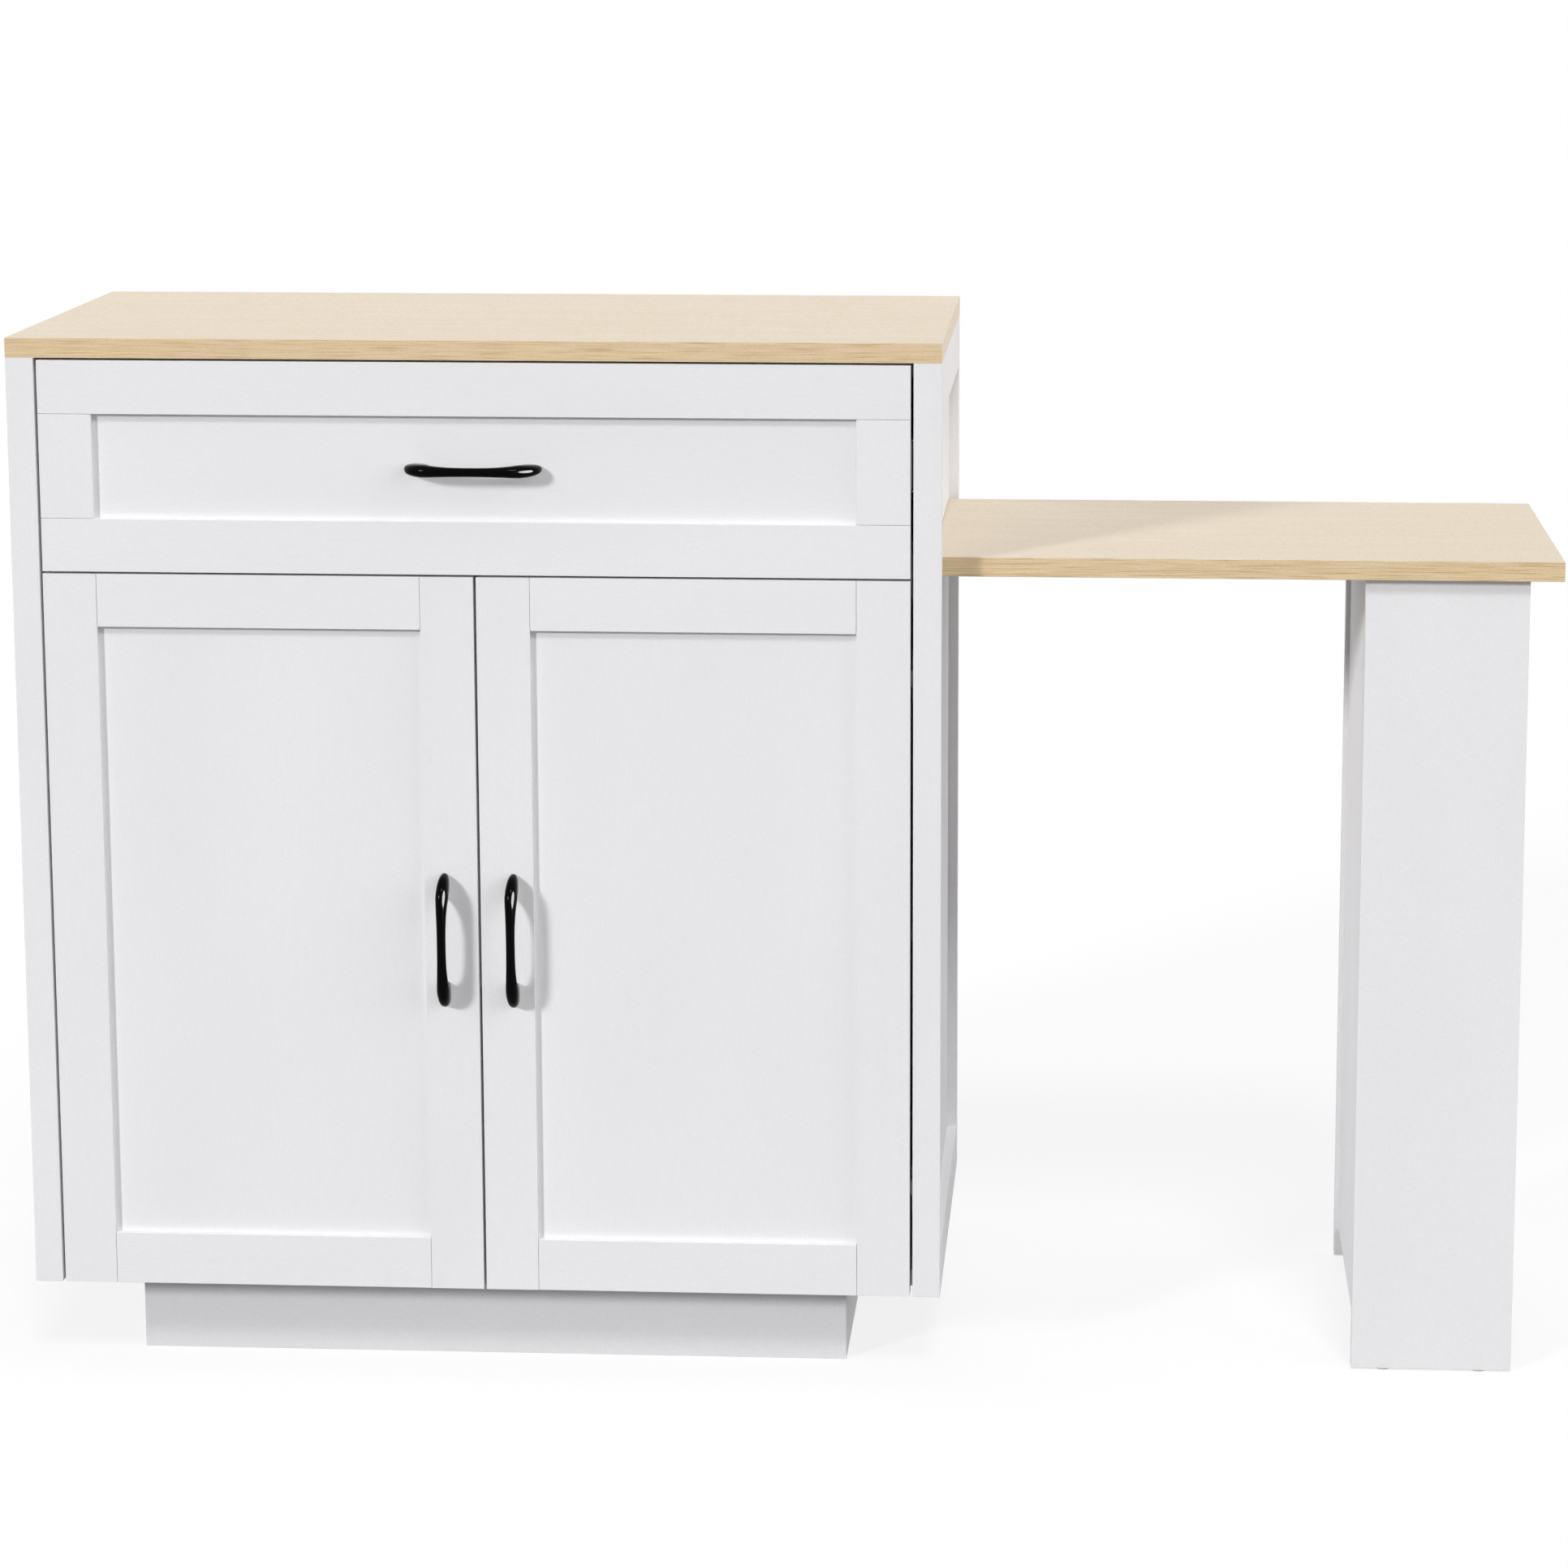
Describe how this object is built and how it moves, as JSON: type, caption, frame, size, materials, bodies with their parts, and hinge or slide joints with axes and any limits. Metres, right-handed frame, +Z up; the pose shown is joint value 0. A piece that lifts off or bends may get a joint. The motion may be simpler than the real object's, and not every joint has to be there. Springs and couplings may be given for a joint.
{
  "type": "kitchen island with pull-out table",
  "caption": "Kitchen base cabinet with a drawer, two framed doors and a table board that slides out of its right side on its own leg.",
  "frame": {"origin": "on the floor, under the centre of the box round the whole island with its table pulled out", "axes": "+X to the right, the way the table pulls out; +Y to the back of the cabinet; +Z up"},
  "size_m": [1.33, 0.427, 0.914],
  "materials": {
    "white_laminate": "satin white melamine with a fine wood emboss",
    "maple_laminate": "pale maple print laminate, satin",
    "black_enamel": "gloss black enamel",
    "steel": "zinc plated",
    "hardboard": "painted hardboard",
    "nylon": "moulded, matt",
    "pine": "raw sawn softwood"
  },
  "bodies": {
    "cabinet": {"countertop": "maple_laminate", "left_side_panel": "white_laminate", "right_side_panel": "white_laminate", "front_posts": "white_laminate", "rear_posts": "white_laminate", "left_side_rails": "white_laminate", "right_side_rails": "white_laminate", "bottom_panel": "white_laminate", "bay_floor": "white_laminate", "back_panel": "hardboard", "back_rails": "white_laminate", "top_stretchers": "white_laminate", "plinth_front": "white_laminate", "plinth_rear": "white_laminate", "plinth_sides": "white_laminate", "plinth_blocks": "pine", "shelf": "white_laminate", "shelf_pins": "steel", "front_table_runner": "nylon", "rear_table_runner": "nylon", "runner_screws": "steel", "countertop_screws": "steel", "drawer_slide_outers": "steel", "left_hinge_arms": "steel", "right_hinge_arms": "steel", "hinge_screws": "steel", "magnetic_catches": "nylon"},
    "slide_middles": {"drawer_slide_middles": "steel"},
    "drawer": {"drawer_slide_inners": "steel", "drawer_front_rails": "white_laminate", "drawer_front_stiles": "white_laminate", "drawer_front_panel": "white_laminate", "drawer_inner_front": "white_laminate", "drawer_sides": "white_laminate", "drawer_back": "white_laminate", "drawer_bottom": "hardboard", "drawer_handle": "black_enamel", "drawer_handle_screws": "steel"},
    "left_door": {"left_door_stiles": "white_laminate", "left_door_rails": "white_laminate", "left_door_panel": "white_laminate", "left_door_handle": "black_enamel", "left_door_screws": "steel", "left_hinge_cups": "steel", "left_door_strike": "steel"},
    "right_door": {"right_door_stiles": "white_laminate", "right_door_rails": "white_laminate", "right_door_panel": "white_laminate", "right_door_handle": "black_enamel", "right_door_screws": "steel", "right_hinge_cups": "steel", "right_door_strike": "steel"},
    "table": {"table_top": "maple_laminate", "table_stop": "white_laminate", "leg_front_panel": "white_laminate", "leg_rear_panel": "white_laminate", "leg_inner_panel": "white_laminate", "leg_shelves": "white_laminate", "leg_glides": "nylon", "leg_brackets": "steel"}
  },
  "joints": [
    {"name": "drawer_slide", "type": "slide", "parent": "cabinet", "child": "drawer", "axis": [0, -1, 0], "range_m": [0, 0.3]},
    {"name": "slide_middles_travel", "type": "slide", "parent": "cabinet", "child": "slide_middles", "axis": [0, -1, 0], "range_m": [0, 0.15]},
    {"name": "left_door_hinge", "type": "hinge", "parent": "cabinet", "child": "left_door", "pos_m": [-0.6195, -0.1785, 0.39325], "axis": [0, 0, 1], "range_deg": [-95, 0]},
    {"name": "right_door_hinge", "type": "hinge", "parent": "cabinet", "child": "right_door", "pos_m": [0.0895, -0.1785, 0.39325], "axis": [0, 0, 1], "range_deg": [0, 95]},
    {"name": "table_slide", "type": "slide", "parent": "cabinet", "child": "table", "axis": [1, 0, 0], "range_m": [-0.36, 0]}
  ],
  "couplings": [
    {"joint": "slide_middles_travel", "follows": "drawer_slide", "ratio": 0.5}
  ]
}
